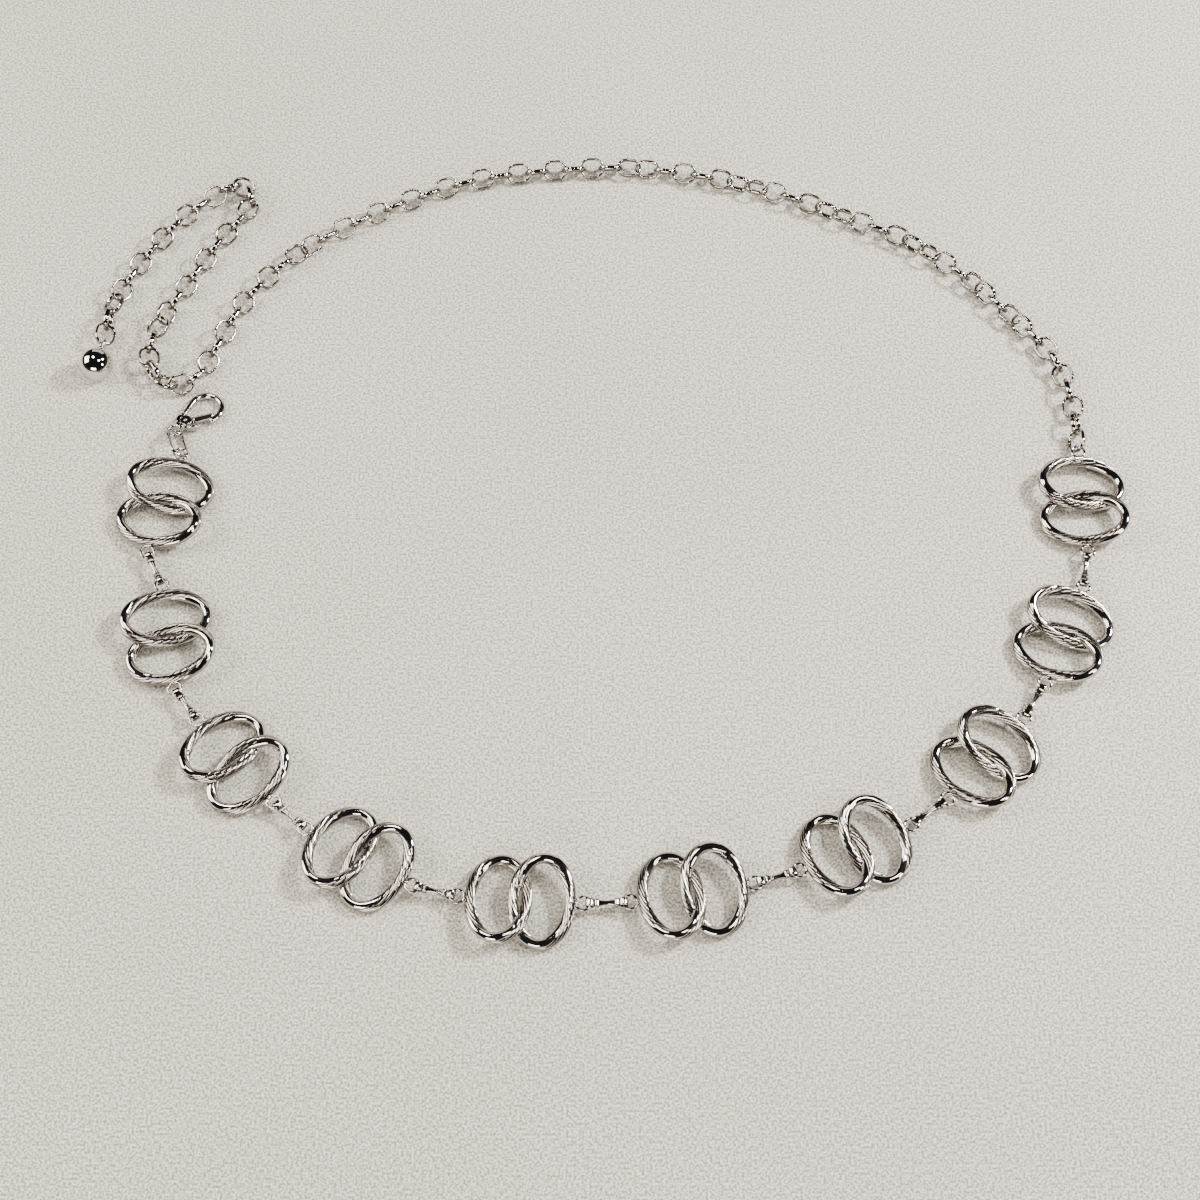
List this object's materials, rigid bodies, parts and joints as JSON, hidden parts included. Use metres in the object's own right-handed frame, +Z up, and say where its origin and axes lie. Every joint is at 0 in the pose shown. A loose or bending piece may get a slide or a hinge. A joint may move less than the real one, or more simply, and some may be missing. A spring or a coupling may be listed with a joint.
{
  "type": "waist chain",
  "caption": "Metal waist chain: cast ornaments of interlaced twisted rings joined by folded strip links, with a cable chain, a lobster clasp and a ball end.",
  "frame": {"origin": "on the surface that the chain lies on, at the middle of its laid outline", "axes": "+X to the right along the longest side of the laid outline, +Y away from the front ornaments towards the plain chain at the back, +Z up from the surface"},
  "size_m": [0.3136, 0.2649, 0.0103],
  "materials": {
    "ornament_metal": "polished silver-coloured plating on cast zinc alloy",
    "connector_metal": "polished silver-coloured plating on folded strip",
    "chain_metal": "polished silver-coloured plating on wire",
    "clasp_metal": "polished silver-coloured plating on cast zinc alloy",
    "ball_metal": "mirror-polished plating"
  },
  "bodies": {
    "chain": {"ornament_01": "ornament_metal", "ornament_02": "ornament_metal", "ornament_03": "ornament_metal", "ornament_04": "ornament_metal", "ornament_05": "ornament_metal", "ornament_06": "ornament_metal", "ornament_07": "ornament_metal", "ornament_08": "ornament_metal", "ornament_09": "ornament_metal", "ornament_10": "ornament_metal", "connector_01": "connector_metal", "connector_02": "connector_metal", "connector_03": "connector_metal", "connector_04": "connector_metal", "connector_05": "connector_metal", "connector_06": "connector_metal", "connector_07": "connector_metal", "connector_08": "connector_metal", "connector_09": "connector_metal", "clasp_link": "chain_metal", "clasp_body": "clasp_metal", "waist_run": "chain_metal", "tail_run": "chain_metal", "end_ball": "ball_metal"},
    "lever": {"clasp_lever": "clasp_metal"}
  },
  "joints": [
    {"name": "lever_hinge", "type": "hinge", "parent": "chain", "child": "lever", "pos_m": [-0.1232, 0.03264, 0.00209], "axis": [0.062, 0.061, 0.9962], "range_deg": [0, 18], "stiffness_Nm_per_rad": 0.01, "springref_deg": -17.19}
  ]
}
